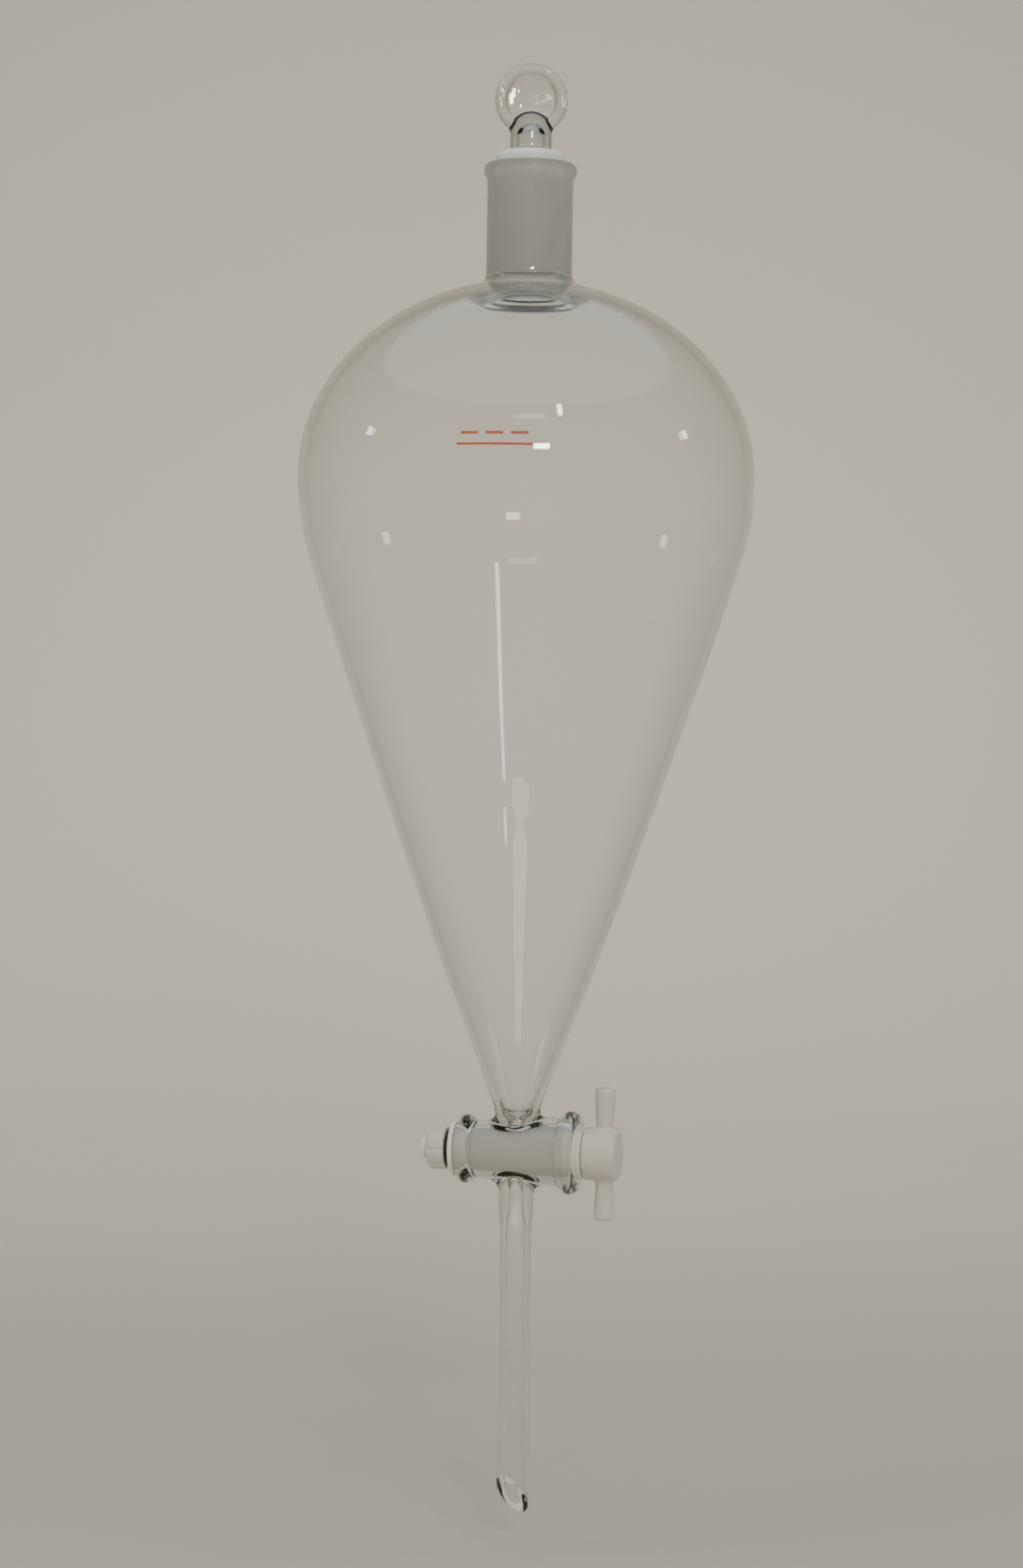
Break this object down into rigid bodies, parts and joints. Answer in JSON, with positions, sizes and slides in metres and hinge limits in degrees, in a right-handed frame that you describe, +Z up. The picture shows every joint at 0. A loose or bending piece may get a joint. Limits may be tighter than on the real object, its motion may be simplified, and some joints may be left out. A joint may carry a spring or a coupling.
{
  "type": "separatory funnel",
  "caption": "Pear-shaped glass separatory funnel with a ground socket neck, hollow ground stopper, PTFE stopcock with T-handle, and bevelled drip stem.",
  "frame": {"origin": "on the funnel's axis at the height where a support ring of 102 mm bore meets the outside of the cone", "axes": "+Z up along the funnel's axis from stem to stopper, +X along the stopcock's axis towards its T-handle"},
  "size_m": [0.1572, 0.1572, 0.5017],
  "materials": {
    "clear_glass": "clear borosilicate glass, fire polished, with a finely ground frosted socket bore",
    "stopper_glass": "clear borosilicate glass with a finely ground frosted cone",
    "ptfe": "turned white PTFE, waxy and slightly translucent",
    "handle_plastic": "moulded white polypropylene, satin",
    "black_rubber": "matte black nitrile rubber"
  },
  "bodies": {
    "glass_body": {"neck_socket": "clear_glass", "bulb_dome": "clear_glass", "bulb_cone": "clear_glass", "stopcock_barrel": "clear_glass", "drain_stem": "clear_glass"},
    "stopper": {"stopper": "stopper_glass"},
    "plug": {"stopcock_plug": "ptfe", "tee_handle": "handle_plastic"},
    "washer": {"tension_washer": "ptfe"},
    "o_ring": {"o_ring": "black_rubber"},
    "nut": {"retaining_nut": "handle_plastic"}
  },
  "joints": [
    {"name": "stopper_lift", "type": "slide", "parent": "glass_body", "child": "stopper", "axis": [0, 0, 1], "range_m": [0, 0.06]},
    {"name": "stopcock_turn", "type": "hinge", "parent": "glass_body", "child": "plug", "pos_m": [0, 0, -0.1333], "axis": [1, 0, 0], "continuous": true},
    {"name": "washer_slide", "type": "slide", "parent": "plug", "child": "washer", "axis": [-1, 0, 0], "range_m": [0, 0.013]},
    {"name": "nut_travel", "type": "slide", "parent": "washer", "child": "o_ring", "axis": [-1, 0, 0], "range_m": [0, 0.0105]},
    {"name": "nut_turn", "type": "hinge", "parent": "o_ring", "child": "nut", "pos_m": [-0.0279, 0, -0.1333], "axis": [-1, 0, 0], "range_deg": [0, 2520]}
  ],
  "couplings": [
    {"joint": "nut_turn", "follows": "nut_travel", "rad_per_m": 4188.8}
  ]
}
